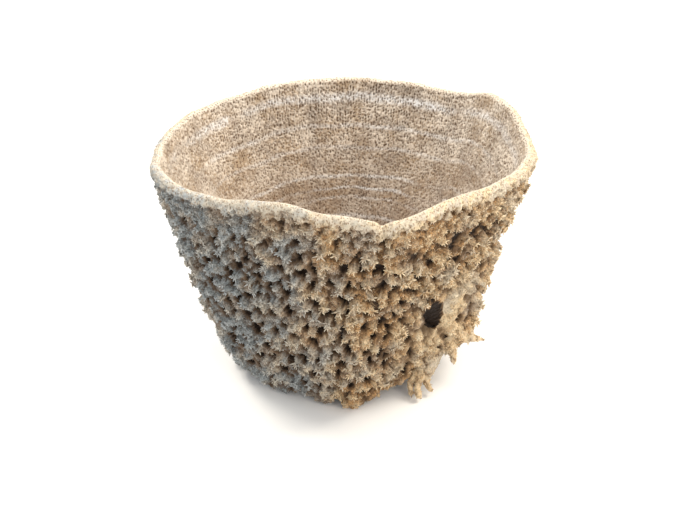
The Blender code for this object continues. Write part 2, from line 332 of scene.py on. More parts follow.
def solidRelief():
    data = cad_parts["sponge"].data
    co = np.zeros(len(data.vertices) * 3)
    data.vertices.foreach_get("co", co)
    p = np.unique(np.round(co.reshape(-1, 3) * 1000, 3), axis=0)
    base, a = p, azimuthOf(p)
    for _ in range(3):  # slides each corner back to the plain wall along the wall's normal
        t = np.clip(levelOf(a, base[:, 2]), 0, 1)
        normal = normalOf(outerWall, a, t)
        off = ((p - outerWall(a, t)) * normal).sum(1)
        base = p - off[:, None] * normal
        a = azimuthOf(base)
    deepest = relief["deepest"] * np.clip((0.985 - t) / 0.24, 0, 1) + 0.2  # no pits right under the lip
    low, high = relief["levels"]
    keep = (t > low) & (t < high) & (off < relief["tallest"]) & (off > -deepest)
    keep &= np.linalg.norm(p - burrowFrame()[0], axis=1) > relief["clearOfBurrow"]
    return outerWall(a[keep], t[keep]), off[keep]


def burrowFrame():  # the middle of its mouth, half the mouth's width and height, and the way in
    azimuth, height, dip = cup["burrow"]
    a = np.array([azimuth])
    level = levelOf(a, height)
    centre = outerWall(a, level)[0]
    along = (outerWall(a + 1, level) - outerWall(a - 1, level))[0]
    up = (outerWall(a, level + 0.01) - outerWall(a, level - 0.01))[0]
    along, up = along / np.linalg.norm(along), up / np.linalg.norm(up)
    wide, tall, length = cup["burrowHalf"]
    inward = -centre * (1, 1, 0) / np.hypot(centre[0], centre[1])
    dip = math.radians(dip)
    into = (inward * math.cos(dip) - np.array((0, 0, math.sin(dip)))) * length
    return centre, along * wide[0] + up * wide[1], along * tall[0] + up * tall[1], into


reliefBase, reliefHeight = solidRelief()
isPit, isTuft = reliefHeight < relief["pit"], reliefHeight > relief["tuft"]
print("pits", int(isPit.sum()), "tufts", int(isTuft.sum()), "ridge points", int((~isPit & ~isTuft).sum()))

# materials
palette = {
    "tip": (0.90, 0.745, 0.50),
    "warm": (0.47, 0.275, 0.125),
    # grey and greyTip: the greyer left, partly painted cool shade
    "grey": (0.26, 0.274, 0.268),
    "greyTip": (0.565, 0.59, 0.59),
    # painted shade: these two darken the pits, pores and other recesses
    "shade": (0.125, 0.072, 0.036),
    "pit": (0.016, 0.008, 0.004),
    "lip": (0.74, 0.655, 0.53),
    "streak": (0.90, 0.90, 0.90),
    "bowl": (0.46, 0.335, 0.215),
    "bowlGrey": (0.43, 0.37, 0.315),
    "bowlPale": (0.79, 0.69, 0.575),
    # painted shade deep in the bowl
    "bowlDeepShade": (0.24, 0.155, 0.10),
    "pore": (0.13, 0.072, 0.038),
    "lipPore": (0.30, 0.17, 0.085),
}


texture = {  # how fine each pattern is: a higher number is finer
    "patches": 52.0,
    "specks": 720.0,
    "cream": 260.0,
    "fibres": 1500.0,
    "felt": 620.0,
    "ringDrift": 14.0,
    "ringBreaks": 24.0,
    "ringCrumbs": 380.0,
    "bowlPores": 640.0,
    "lipPores": 860.0,
}


def wire(tree, start, end):
    # a link where the start is a socket, else a value of the end's own
    if isinstance(start, bpy.types.NodeSocket):
        tree.links.new(start, end)
    else:
        end.default_value = (*start, 1.0) if end.type == "RGBA" else start


def nodeOf(tree, kind, inputs=(), **settings):
    made = tree.nodes.new(kind)
    for key, value in settings.items():
        setattr(made, key, value)
    for key, value in dict(inputs).items():
        wire(tree, value, made.inputs[key])
    return made


def groupOf(name, inputs, outputs):
    tree = bpy.data.node_groups.new(name, "ShaderNodeTree")
    for key, value in inputs.items():
        kind = "NodeSocketColor" if isinstance(value, tuple) else "NodeSocketFloat"
        socket = tree.interface.new_socket(key, in_out="INPUT", socket_type=kind)
        socket.default_value = (*value, 1.0) if isinstance(value, tuple) else value
    for key, kind in outputs.items():
        tree.interface.new_socket(key, in_out="OUTPUT", socket_type=kind)
    return tree, tree.nodes.new("NodeGroupInput").outputs, tree.nodes.new("NodeGroupOutput").inputs


def mixed(tree, share, a, b, blend="MIX"):
    made = nodeOf(tree, "ShaderNodeMix", data_type="RGBA", blend_type=blend)
    for socket, value in ((0, share), (6, a), (7, b)):  # the factor, and the two colour inputs
        wire(tree, value, made.inputs[socket])
    return made.outputs[2]


def calc(tree, operation, a, b=0.5, c=0.0, clamp=False):
    settings = {"operation": operation, "use_clamp": clamp}
    return nodeOf(tree, "ShaderNodeMath", {0: a, 1: b, 2: c}, **settings).outputs[0]


def times(tree, a, b):
    return calc(tree, "MULTIPLY", a, b)


def ranged(tree, value, low, high, toLow=0.0, toHigh=1.0):
    limits = {"Value": value, "From Min": low, "From Max": high, "To Min": toLow, "To Max": toHigh}
    return nodeOf(tree, "ShaderNodeMapRange", limits, interpolation_type="SMOOTHSTEP").outputs[0]


def cloud(tree, coords, scale, detail=3.0, rough=0.55):
    inputs = {"Vector": coords, "Scale": scale, "Detail": detail, "Roughness": rough}
    return nodeOf(tree, "ShaderNodeTexNoise", inputs).outputs["Fac"]


def coordsOf(tree):
    return tree.nodes.new("ShaderNodeTexCoord").outputs["Object"]


def makeHueGroup():  # dried fibre: pale tips, tan or grey walls (the grey partly painted cool shade), pits painted dark brown as shade, a cream lip
    tree, given, out = groupOf(
        "driedFibreHue",
        {"Cavityshade": 0.0, "Tip": 0.0, "Tone": 0.5, "Band": 0.0, "Warmth": 0.5, "Speck": 1.0,
         "Warm": palette["warm"], "Grey": palette["grey"], "Pale": palette["tip"],
         "Pale Grey": palette["greyTip"], "Shade": palette["shade"], "Dark": palette["pit"]},
        {"Color": "NodeSocketColor"},
    )
    coords = coordsOf(tree)
    patches = ranged(tree, cloud(tree, coords, texture["patches"], 5.0), 0.32, 0.68, -0.36, 0.36)
    warmth = calc(tree, "ADD", given["Warmth"], patches, clamp=True)
    hue = mixed(tree, warmth, given["Grey"], given["Warm"])
    pale = mixed(tree, warmth, given["Pale Grey"], given["Pale"])
    speck = ranged(tree, cloud(tree, coords, texture["specks"], 3.0, 0.8), 0.31, 0.70, -0.54, 0.50)
    speck = calc(tree, "MULTIPLY_ADD", speck, given["Speck"], 1.0)
    speck = nodeOf(tree, "ShaderNodeCombineColor", {0: speck, 1: speck, 2: speck}).outputs[0]
    hue = mixed(tree, 1.0, hue, speck, "MULTIPLY")
    tone = ranged(tree, given["Tone"], 0.0, 1.0, -0.30, 0.30)
    light = calc(tree, "ADD", given["Tip"], tone, clamp=True)
    hue = mixed(tree, light, hue, pale)
    blotches = ranged(tree, cloud(tree, coords, texture["cream"], 3.0), 0.35, 0.65)
    cream = mixed(tree, blotches, palette["lip"], pale)
    hue = mixed(tree, times(tree, given["Band"], 0.9), hue, cream)
    # painted shade, deepening with the recess
    hue = mixed(tree, ranged(tree, given["Cavityshade"], 0.22, 0.66, 0.0, 0.88), hue, given["Shade"])
    hue = mixed(tree, ranged(tree, given["Cavityshade"], 0.58, 0.92), hue, given["Dark"])
    wire(tree, hue, out["Color"])
    return tree


def makeFibreGroup():  # fine felted relief for Bump
    tree, given, out = groupOf("feltRelief", {"Fineness": 1.0}, {"Height": "NodeSocketFloat"})
    coords = coordsOf(tree)
    fine = times(tree, given["Fineness"], texture["fibres"])
    coarse = times(tree, given["Fineness"], texture["felt"])
    fibres = nodeOf(tree, "ShaderNodeTexNoise", {
        "Vector": coords, "Scale": fine, "Detail": 4.0, "Roughness": 0.65, "Distortion": 1.2})
    cells = nodeOf(tree, "ShaderNodeTexVoronoi", {"Vector": coords, "Scale": coarse}, feature="F1")
    height = calc(tree, "MULTIPLY_ADD", cells.outputs["Distance"], 0.9, fibres.outputs["Fac"])
    wire(tree, height, out["Height"])
    return tree


growth = {  # pale rings in the bowl, in millimetres
    "rings": (  # depth below the lip, half width, strength
        (12, 5.0, 1.0), (31, 2.6, 0.6), (45, 2.2, 0.45), (63, 1.8, 0.7), (71, 1.5, 0.95), (77, 1.5, 0.5),
        (88, 2.0, 0.6), (101, 1.8, 0.7), (114, 2.0, 0.5),
    ),
    "reach": 126.0,
    "drift": 9.0,
}


def makeRingGroup():  # pale growth rings, broken into patches, by the depth below the lip
    tree, given, out = groupOf("growthRings", {"Level": 0.0}, {"Mask": "NodeSocketFloat"})
    coords = coordsOf(tree)
    wander = calc(tree, "SUBTRACT", cloud(tree, coords, texture["ringDrift"], 3.0), 0.5)
    drift = calc(tree, "MULTIPLY_ADD", wander, growth["drift"], given["Level"])
    ramp = tree.nodes.new("ShaderNodeValToRGB")
    ramp.color_ramp.interpolation = "EASE"
    stops = [(0.0, 0.0)]
    for depth, half, strength in growth["rings"]:
        stops += [(depth - half, 0.0), (depth, strength), (depth + half, 0.0)]
    while len(ramp.color_ramp.elements) < len(stops):
        ramp.color_ramp.elements.new(0.5)
    for stop, (depth, strength) in zip(ramp.color_ramp.elements, stops):
        stop.position, stop.color = depth / growth["reach"], (strength, strength, strength, 1.0)
    wire(tree, calc(tree, "DIVIDE", drift, growth["reach"]), ramp.inputs["Fac"])
    patches = ranged(tree, cloud(tree, coords, texture["ringBreaks"], 5.0, 0.6), 0.36, 0.54, 0.12, 1.0)
    back = nodeOf(tree, "ShaderNodeSeparateXYZ", {"Vector": coords}).outputs["Y"]
    unbroken = ranged(tree, back, 0.078, 0.098, 0.0, 0.85)
    fainter = ranged(tree, back, 0.02, 0.085, 0.42, 1.0)
    patches = times(tree, calc(tree, "MAXIMUM", patches, unbroken), fainter)
    mask = times(tree, ramp.outputs["Color"], patches)
    crumbs = ranged(tree, cloud(tree, coords, texture["ringCrumbs"], 3.0, 0.75), 0.36, 0.58, 0.40, 1.0)
    wire(tree, times(tree, mask, crumbs), out["Mask"])
    return tree


def makeSpeckGroup():  # the finest pores, upright slots between the modelled ones
    tree, given, out = groupOf("finePores", {"Density": texture["bowlPores"]}, {"Mask": "NodeSocketFloat"})
    coords = coordsOf(tree)
    upright = nodeOf(tree, "ShaderNodeMapping", {"Vector": coords, "Scale": (1.0, 1.0, 0.55)})
    cells = nodeOf(tree, "ShaderNodeTexVoronoi", {
        "Vector": upright.outputs["Vector"], "Scale": given["Density"], "Randomness": 0.9}, feature="F1")
    wire(tree, ranged(tree, cells.outputs["Distance"], 0.22, 0.46, 1.0, 0.0), out["Mask"])
    return tree


groups = {
    "hue": makeHueGroup(), "felt": makeFibreGroup(), "rings": makeRingGroup(), "pores": makeSpeckGroup(),
}


def groupNode(tree, name, inputs=()):
    return nodeOf(tree, "ShaderNodeGroup", inputs, node_tree=groups[name])


def attribute(tree, name):
    return nodeOf(tree, "ShaderNodeAttribute", attribute_name=name).outputs["Fac"]


def fibreMaterial(name, roughness, bump, fineness, colors=(), inBowl=False, speck=1.0):
    made = bpy.data.materials.new(name)
    made.use_nodes = True
    tree = made.node_tree
    shader = tree.nodes["Principled BSDF"]
    values = {key: attribute(tree, key.lower()) for key in ("Cavityshade", "Tip", "Tone", "Band", "Warmth")}
    color = groupNode(tree, "hue", {**dict(colors), **values, "Speck": speck}).outputs["Color"]
    if inBowl:
        level = attribute(tree, "level")
        # painted shade: darker deeper in the bowl
        color = mixed(tree, ranged(tree, level, 18.0, 88.0, 0.0, 0.42), color, palette["bowlDeepShade"])
        mask = groupNode(tree, "rings", {"Level": level}).outputs["Mask"]
        clear = calc(tree, "SUBTRACT", 1.0, values["Cavityshade"], clamp=True)
        color = mixed(tree, times(tree, mask, clear), color, palette["streak"])
        # the finest pores painted as dark specks, as shade in holes too small to model
        specks = groupNode(tree, "pores").outputs["Mask"]
        color = mixed(tree, times(tree, specks, 0.62), color, palette["pore"])
    else:
        # the finest pores painted as dark specks, as shade in holes too small to model
        specks = groupNode(tree, "pores", {"Density": texture["lipPores"]}).outputs["Mask"]
        dark = mixed(tree, values["Band"], palette["shade"], palette["lipPore"])
        share = calc(tree, "MULTIPLY_ADD", values["Tip"], -0.34, 0.60)
        share = calc(tree, "MULTIPLY_ADD", values["Band"], 0.16, share)
        share = times(tree, share, ranged(tree, values["Cavityshade"], 0.7, 1.0, 1.0, 0.1))
        color = mixed(tree, times(tree, specks, share), color, dark)
    wire(tree, color, shader.inputs["Base Color"])
    felt = groupNode(tree, "felt", {"Fineness": fineness}).outputs["Height"]
    lift = nodeOf(tree, "ShaderNodeBump", {"Height": felt, "Strength": 0.8, "Distance": bump})
    wire(tree, lift.outputs["Normal"], shader.inputs["Normal"])
    finish = {"Roughness": roughness, "Specular IOR Level": 0.15, "Sheen Weight": 0.05, "Sheen Roughness": 0.6}
    for key, value in finish.items():
        wire(tree, value, shader.inputs[key])
    return made


outerMaterial = fibreMaterial("tuftedOutside", 0.93, 0.0007, 1.0)
bowlMaterial = fibreMaterial(
    "poredBowl", 0.9, 0.0005, 1.15,
    {"Warm": palette["bowl"], "Grey": palette["bowlGrey"], "Pale": palette["bowlPale"],
     "Pale Grey": palette["bowlPale"], "Shade": palette["pore"], "Dark": palette["pore"]},
    inBowl=True, speck=0.5,
)
spikeMaterial = fibreMaterial("fibreSpikes", 0.88, 0.0002, 1.4)
print("materials ready")


# the outside: foot, wall and lip
outside = {
    "spacing": 1.085,
    "belowSpacing": 1.7,
    "hiddenSpacing": 7.0,
    "pitRadius": (3.6, 5.3),  # across; pits are longer upwards by the next value
    "pitLong": 1.45,
    "valley": 2.5,  # depth between tufts where there is no pit
    "tuftRadius": 2.95,
    "tuftShare": 0.78,  # of the solid's tufts, as the spikes on them reach further
    "web": 1.5,  # height of the ridge between neighbouring tufts
    "warp": 1.5,
    "grain": 0.55,
    "leastWall": 2.9,  # left between a pit and the bowl
    "seam": 0.56,  # how far over the lip the outside skin goes
    "grainNoise": ((1, 2.3, 4), (0.9, 1.2, 5)),  # strength, size and seed of each layer
    "lobes": 3.3,  # at the foot
    "lobeNoise": ((1, 8.0, 17), (0.6, 3.5, 18)),
    "knobs": ((3.4, 4.2, 33), (1.8, 2.0, 34)),  # along the lowest edge
    "lumps": ((3.4, 9.0, 6), (3.0, 3.8, 7), (1.4, 2.3, 8)),  # on the underside
    "cutPores": (3.4, 1.3),  # spacing and depth
    "lipTufts": (5.0, 1.1, 2.3),  # spacing, least and most height just under the lip
    "lipPits": (6.2, 1.5, 2.7),
}
bowl = {
    "spacing": 0.955,
    "wallGap": 2.2,
    "poreRadius": 0.76,
    "poreDepth": 1.6,
    "poreStep": 2.3,
    "lipPoreStep": 1.75,
    "poreRows": (  # between two radii, and how many rows
        (999, 96, 350), (96, 78, 290), (78, 58, 226), (58, 38, 156), (38, 20, 90), (20, 3, 38),
    ),
}


def hiddenRings(gap, falling):
    rings = ringsOf(innerWall, 0.05, 0.93, outside["hiddenSpacing"])
    moved = [(a, p - gap * n, n, t) for a, p, n, t in rings]
    return moved if falling else moved[::-1]


def withPoles(first, last, rings, column):
    return np.concatenate([[first], *[ring[column] for ring in rings], [last]])


def kindsOf(parts):  # each point's part by name, with the poles in the first and the last part
    names = list(parts)
    kinds = [np.full(len(ring[0]), name) for name in names for ring in parts[name]]
    return np.concatenate([names[:1], *kinds, names[-1:]])


def coarseness(a):  # the left of the front is finer, the right is knobblier
    return 1 - atSide(a, "finer", 4) + atSide(a, "knobbly")


def underLip(gap, least, most, low, high, seed, tries=60000):
    # tufts or pits that only the visual has, in the band that the solid leaves plain
    draw = np.random.default_rng(seed)
    a = draw.uniform(0, 360, tries)
    t = low + (high - low) * draw.random(tries)
    places = outerWall(a, t)
    places = places[sparse(np.arange(tries), places, gap)]
    return places, draw.uniform(least, most, len(places))


reliefSeed = np.random.default_rng(5)
lipPitBase, lipPitDepth = underLip(*outside["lipPits"], 0.82, 0.965, 21)
pitBase = np.concatenate((reliefBase[isPit], lipPitBase))
pitDepth = np.concatenate((-reliefHeight[isPit], lipPitDepth))
pitRadius = reliefSeed.uniform(*outside["pitRadius"], len(pitDepth)) * np.clip(pitDepth / 3.5, 0.5, 1.0)
pitTree = treeOf(pitBase)
lipTuftBase, lipTuftHeight = underLip(*outside["lipTufts"], 0.885, 0.992, 22)
standBase = np.concatenate((reliefBase[~isPit], lipTuftBase))
standHeight = np.concatenate((np.maximum(reliefHeight[~isPit], 0.25), lipTuftHeight))
standTree = treeOf(standBase)
standArms = reliefSeed.integers(4, 8, len(standBase))
standTurn = reliefSeed.uniform(0, 2 * math.pi, len(standBase))
standWide = reliefSeed.uniform(0.8, 1.2, len(standBase))


def wallThickness(base, a):
    r, z = crest(a)
    half = cup["lipHalf"]
    share = np.clip((base[:, 2] - cup["floorHeight"]) / (z - half - cup["floorHeight"]), 0, 1)
    return np.hypot(base[:, 0], base[:, 1]) - (r - half) * np.sqrt(share) ** 0.78


def wallRelief(base, normal, a, t):
    around = np.stack((-np.sin(np.radians(a)), np.cos(np.radians(a)), 0 * a), axis=-1)
    rising = np.cross(normal, around)
    warped = base + outside["warp"] * noiseVectors(base, 5.0) + 0.85 * noiseVectors(base, 1.9, 2)

    def across(places):  # from each point to its places, along the wall and up it
        away = warped[:, None, :] - places
        return (away * around[:, None]).sum(2), (away * rising[:, None]).sum(2)

    i, _ = nearest(pitTree, warped, 5)
    along, up = across(pitBase[i])
    reach = np.hypot(along, up / outside["pitLong"]) / pitRadius[i]
    pit = (pitDepth[i] * (1 - smooth(0.32, 1.0, reach))).max(1)
    j, e = nearest(standTree, warped, 4)
    along, up = across(standBase[j])
    turn = np.arctan2(up, along)
    coarse = coarseness(a)
    valley = outside["valley"] * (0.35 + 0.65 * coarse) * (0.85 + 0.8 * noiseOf(base, 7.0, 11))
    valley = valley * (1 - smooth(0.965, 1.0, t))
    star = outside["tuftRadius"] * standWide[j] * (1 + 0.30 * np.cos(standArms[j] * turn + standTurn[j]))
    share = outside["tuftShare"] * standHeight[j] * coarse[:, None]
    rise = (1 - smooth(0.45, 1.05, e / star)) * smooth(0.2, 1.6, standHeight[j])
    tuft = (rise * (share + valley[:, None]) - 0.35 * (e / star) ** 2 * rise).max(1)
    span = np.linalg.norm(standBase[j[:, 0]] - standBase[j[:, 1]], axis=1)
    web = (1 - smooth(0.15, 1.2, e[:, 0] + e[:, 1] - span)) * (1 - smooth(4.5, 7.0, span))
    web = outside["web"] * coarse * web * (0.8 + 0.9 * noiseOf(base, 4.0, 13))
    grain = outside["grain"] * layers(base, outside["grainNoise"]) + 0.5 * noiseOf(base, 4.4, 14)
    lobes = outside["lobes"] * (1 - smooth(0.0, 0.12, t)) * layers(base, outside["lobeNoise"])
    deep = np.maximum(valley, pit + 0.25 * valley)
    height = np.maximum(tuft, web) - valley - (deep - valley) * (1 - 0.8 * rise.max(1)) + grain + lobes
    return np.maximum(height, outside["leastWall"] - 0.85 * wallThickness(base, a))


def burrowReach(base):  # 0 in the middle of the burrow's mouth, 1 at its rim
    centre, wide, tall, into = burrowFrame()
    away = base - centre
    share = away @ np.linalg.inv(np.stack((wide, tall, into)))
    reach = np.hypot(share[:, 0], share[:, 1])
    return np.where(np.linalg.norm(away, axis=1) < 28, reach * (1 + 0.16 * noiseOf(base, 2.2, 9)), 9.0)


def burrowed(base, normal, height):
    reach = burrowReach(base)
    centre, _, _, into = burrowFrame()
    near = reach < 1
    hole = np.sqrt(np.clip(1 - reach**2, 0, 1))
    height = np.where(height > -0.5, (height + 0.5) * smooth(1.0, 2.1, reach) - 0.5, height)
    moved = base + normal * height[:, None]
    narrower = centre + (base - centre) * (1 - 0.25 * hole)[:, None]
    moved[near] = (narrower + into * hole[:, None])[near]
    return moved, near, reach


def warmthAt(a):  # greyer on the left of the front, warmer on its right: partly the sponge's own tone, partly painted cool shade on the left and painted warm light on the right
    return 0.62 - atSide(a, "grey") + atSide(a, "warm") - 0.12 * wave(a, 3, 5)


def buildOutside():
    fine, below = outside["spacing"], outside["belowSpacing"]
    gap = bowl["wallGap"] + 0.3
    parts = {
        "cut": ringsOf(cutFace, 0.96, 0.0, below, up=-1),
        "below": ringsOf(underside, 1.0, 0.0, below, (False, False), up=-1),
        "wall": ringsOf(outerWall, 0.0, 1.0, fine),
        "lip": ringsOf(lipTop, 0.0, outside["seam"], fine, (False, True)),
        "hidden": hiddenRings(gap, True),
    }
    rings = sum(parts.values(), [])
    faces = stitched(rings)
    base = withPoles((0, 0, 0), (0, 0, cup["floorHeight"] - gap), rings, 1)
    normal = withPoles((0, 0, -1), (0, 0, 1), rings, 2)
    a = withPoles(0.0, 0.0, rings, 0)
    t = withPoles(0.0, 0.0, rings, 3)
    kinds = kindsOf(parts)
    cut, under, wall, lip = (kinds == name for name in ("cut", "below", "wall", "lip"))
    height = np.zeros(len(base))
    height[wall] = wallRelief(base[wall], normal[wall], a[wall], t[wall])
    holes = smooth(0.16, 0.46, noiseOf(base, 1.1, 16)) * (lip | (wall & (t > 0.955) & (height > -0.8)))
    inShare = smooth(0.75, 1.0, t / outside["seam"]) * lip
    height[lip] = (0.7 * noiseOf(base, 2.0, 4) * (1 - inShare))[lip]
    height -= 0.9 * holes * (1 - inShare)
    knobs = layers(base, outside["knobs"])
    height = np.where(wall, knobs + (height - knobs) * smooth(0.0, 0.035, t), height)
    height[under] = layers(base[under], outside["lumps"]) * smooth(0.2, 5.0, base[under][:, 2])
    step, depth = outside["cutPores"]
    cutPores = sparse(np.flatnonzero(cut | (under & (base[:, 2] < 4))), base, step)
    height[cutPores] -= depth
    points, inHole, reach = burrowed(base, normal, height)
    points[:, 2] = np.maximum(points[:, 2], np.where(cut, 0.0, 0.05))
    # painted shade: the lower the relief, the darker the colour
    cavityshade = 1 - smooth(-4.8, 2.2, height + 0.6 * noiseOf(base, 2.6, 15))
    cavityshade *= 1 + atSide(a, "shaded") * (1 - feltShare(a, t))
    # painted shadow: the underside dark under the foot's edge, darker in its hollows
    cavityshade[under] = np.clip(0.56 - 0.18 * height[under], 0, 1)
    cavityshade[lip] = 0.10
    # the small holes near the lip painted darker, as shade in them
    cavityshade = np.maximum(cavityshade, 0.42 * holes)
    cavityshade[cut] = 0.34
    cavityshade[cutPores] = 0.85
    # painted shade inside the burrow and round its rim
    cavityshade[inHole] = 1.0
    rim = (reach < 1.2) & wall
    cavityshade[rim] = np.maximum(cavityshade[rim], smooth(1.2, 1.03, reach[rim]))
    edge = t + 0.022 * noiseOf(base, 6.0, 19) + 0.012 * noiseOf(base, 2.2, 20)
    edge = edge - atSide(a, "narrowBand") * (1 - smooth(0.985, 1.0, t))
    onLip = smooth(-0.12, 0.34, t + 0.3 * (1 - atSide(a, "duller")))
    onWall = smooth(0.945, 0.992, edge) * smooth(-1.4, 0.4, height)
    band = np.where(lip, onLip, 0.0) + np.where(wall, onWall, 0.0)
    inHole = inHole | rim
    tip = np.where(wall, 0.62 * smooth(0.4, 3.0, height), 0.15) * (1 - inHole)
    felt = feltShare(a, t) * wall * (1 - inHole)
    fuzzy = np.where(wall | under, smooth(-2.4, 1.0, height), 0.8 * lip * (1 - inShare))
    values = {
        "cavityshade": cavityshade * (1 - 0.55 * felt),
        "tip": np.clip(tip + 0.75 * felt, 0, 1),
        "band": band,
        "tone": np.full(len(base), 0.5),
        "warmth": np.where(cut | under, 0.55, warmthAt(a)),
        "fuzz": fuzzy * (1 - inHole),
    }
    last = parts["lip"][-1]
    end = int(np.flatnonzero(lip)[-1]) + 1
    start = end - len(last[0])
    piece = meshFrom("outerWall", points, faces, values, outerMaterial, (start, end))
    print("outside skin:", len(faces), "triangles")
    return {"piece": piece, "points": points, "faces": faces, "base": base, "normal": normal, "kinds": kinds,
            "azimuth": a, "level": t, "values": values, "seam": (last[0], points[start:end], last[2], last[3])}


outer = buildOutside()


# the bowl, with its upright rows of pores
def poreCentres():
    # upright rows, fewer of them towards the floor
    fine = np.linspace(0, 0.95, 400)
    line = innerWall(np.full(400, 90.0), fine)
    run = runOf(line)
    radius = np.hypot(line[:, 0], line[:, 1])
    draw = np.random.default_rng(3)
    centres = []
    for wide, narrow, rows in bowl["poreRows"]:
        zone = run[(radius <= wide) & (radius > narrow)]
        for k in range(rows):
            along = np.arange(zone[0] + draw.uniform(0, bowl["poreStep"]), zone[-1], bowl["poreStep"])
            along = along + draw.uniform(-0.5, 0.5, len(along))
            along = along[draw.random(len(along)) > 0.10]
            t = np.clip(np.interp(along, run, fine), 0, 0.95)
            a = k * 360 / rows + 0.8 * noiseOf(innerWall(np.full(len(t), k * 360.0 / rows), t), 40.0, 2)
            r = np.interp(along, run, radius)
            centres.append(innerWall(a + np.degrees(draw.uniform(-0.35, 0.35, len(t)) / r), t))
    return np.concatenate(centres)


def buildBowl():
    overLip = ringsOf(lipTop, outside["seam"], 1.0, bowl["spacing"], (False, False))
    visible = overLip + ringsOf(innerWall, 0.0, 0.965, bowl["spacing"])
    seam = outer["seam"]
    parts = {"hidden": hiddenRings(bowl["wallGap"], False), "seam": [seam], "bowl": visible}
    rings = sum(parts.values(), [])
    faces = stitched(rings)
    floor = cup["floorHeight"]
    base = withPoles((0, 0, floor - bowl["wallGap"]), (0, 0, floor), rings, 1)
    normal = withPoles((0, 0, -1), (0, 0, 1), rings, 2)
    a = withPoles(0.0, 0.0, rings, 0)
    kinds = kindsOf(parts)
    inner = kinds == "bowl"
    onLip = np.concatenate([ring[1] for ring in overLip])
    onLip = onLip[sparse(np.arange(len(onLip)), onLip, bowl["lipPoreStep"])]
    centres = np.concatenate((onLip, poreCentres()))
    skin = base[inner]
    shifted = skin + 0.3 * noiseVectors(skin, 3.0, 8)
    i = nearest(treeOf(centres), shifted, 1)[0][:, 0]
    depthBelow = crest(a[inner])[1] - skin[:, 2]
    away = shifted - centres[i]
    stretch = 0.48 + 0.42 * smooth(12, 70, depthBelow)  # pores are long upright slots near the lip
    d = np.sqrt(away[:, 0] ** 2 + away[:, 1] ** 2 + (away[:, 2] * stretch) ** 2)
    strength = np.random.default_rng(8).uniform(0.55, 1.0, len(centres))[i]
    pore = (1 - smooth(0.25, 1.0, d / bowl["poreRadius"])) * strength
    near = smooth(0.3, 3.5, depthBelow)
    swell = 0.9 * noiseOf(skin, 26.0, 3) + 0.12 * np.sin(depthBelow * 0.33) + 0.3 * noiseOf(skin, 2.4, 12)
    height = np.zeros(len(base))
    height[inner] = near * swell - bowl["poreDepth"] * pore * (0.3 + 0.7 * near)
    points = base + normal * height[:, None]
    values = {name: np.zeros(len(base)) for name in ("cavityshade", "tip", "band", "level")}
    # the pores painted dark, as shade in them
    values["cavityshade"][inner] = 0.06 + 0.90 * pore
    values["band"][inner] = 0.9 * (1 - smooth(0.2, 2.4, depthBelow + 0.8 * noiseOf(skin, 2.0, 23)))
    values["band"][kinds == "seam"] = 1.0
    values["level"][inner] = depthBelow
    mottle = 0.40 + 1.3 * noiseOf(skin, 1.5, 21) + 0.9 * noiseOf(skin, 14.0, 22)
    values["tip"][inner] = np.clip(mottle, 0, 1)
    values["tone"] = values["warmth"] = np.full(len(base), 0.5)
    start = int((kinds == "hidden").sum())
    made = meshFrom("bowlWall", points, faces, values, bowlMaterial, (start, start + len(seam[0])))
    print("bowl skin:", len(faces), "triangles,", len(centres), "pores")
    return made


bowlPiece = buildBowl()

# root tips that held the sponge to the rock: middle points and radii
roots = {
    "paths": (
        ((60.3, -38, 27.9, 5.2), (55.8, -44, 18.7, 4.5), (53.2, -48, 14.0, 3.6), (52.0, -49, 12.0, 2.6)),
        ((49.2, -46, 17.8, 3.2), (43.4, -51, 9.5, 2.2), (43.0, -54, 5.4, 1.7), (43.7, -55.5, 2.9, 2.0)),
        ((50.4, -48, 16.1, 3.5), (47.2, -53, 8.6, 2.3), (48.0, -56.5, 4.8, 2.1), (49.3, -58.5, 2.8, 2.1)),
        ((53.2, -46, 14.6, 3.2), (53.6, -49, 8.0, 2.2), (55.8, -51, 5.1, 1.7), (57.4, -52, 3.5, 1.1)),
        ((67.3, -36, 34.3, 4.5), (69.7, -41.5, 28.7, 2.9), (70.7, -44.5, 23.8, 1.9), (70.7, -46, 21.3, 2.0)),
        ((68.6, -38, 31.8, 3.2), (66.5, -41.5, 29.1, 1.9), (66.0, -42.5, 27.1, 1.5)),
        ((75, -32, 33, 4.5), (82, -31, 31.5, 3.0), (88, -29.5, 29.5, 1.3), (92.3, -28, 27.4, 0.7)),
        ((-50, -32, 14, 6.0), (-54, -36, 10, 4.2), (-57, -38.5, 7, 2.6), (-58, -39.5, 5.5, 2.2)),
        ((-22, 50, 13, 6.0), (-25, 56, 8, 4.0), (-27, 60, 4.5, 2.6), (-28, 62, 3.0, 2.2)),
        ((44, 42, 14, 6.0), (49, 48, 8, 3.8), (52, 51, 4.5, 2.5), (54, 52, 3.0, 2.2)),
    ),
    "step": 0.8,
    "around": 22,  # points round a tip
    "knob": 0.42,
}


def sweptPath(path):
    # a smooth line through the middle points, with a rounded end
    rows = np.array(path, float)
    ends = np.vstack((2 * rows[0] - rows[1], rows, 2 * rows[-1] - rows[-2]))
    line = []
    for k in range(1, len(rows)):
        p0, p1, p2, p3 = ends[k - 1 : k + 3]
        for u in np.linspace(0, 1, 12, endpoint=False):
            square, cube = (2 * p0 - 5 * p1 + 4 * p2 - p3) * u**2, (3 * p1 - p0 - 3 * p2 + p3) * u**3
            line.append(0.5 * (2 * p1 + (p2 - p0) * u + square + cube))
    line.append(rows[-1])
    line = np.array(line)
    run = runOf(line[:, :3])
    along = np.linspace(0, run[-1], int(run[-1] / roots["step"]) + 2)
    line = np.stack([np.interp(along, run, line[:, c]) for c in range(4)], axis=1)
    tip = rows[-1, 3]
    line[:, 3] *= np.sqrt(np.clip(1 - (1 - np.clip((run[-1] - along) / tip, 0.02, 1)) ** 2, 0.02, 1))
    return line


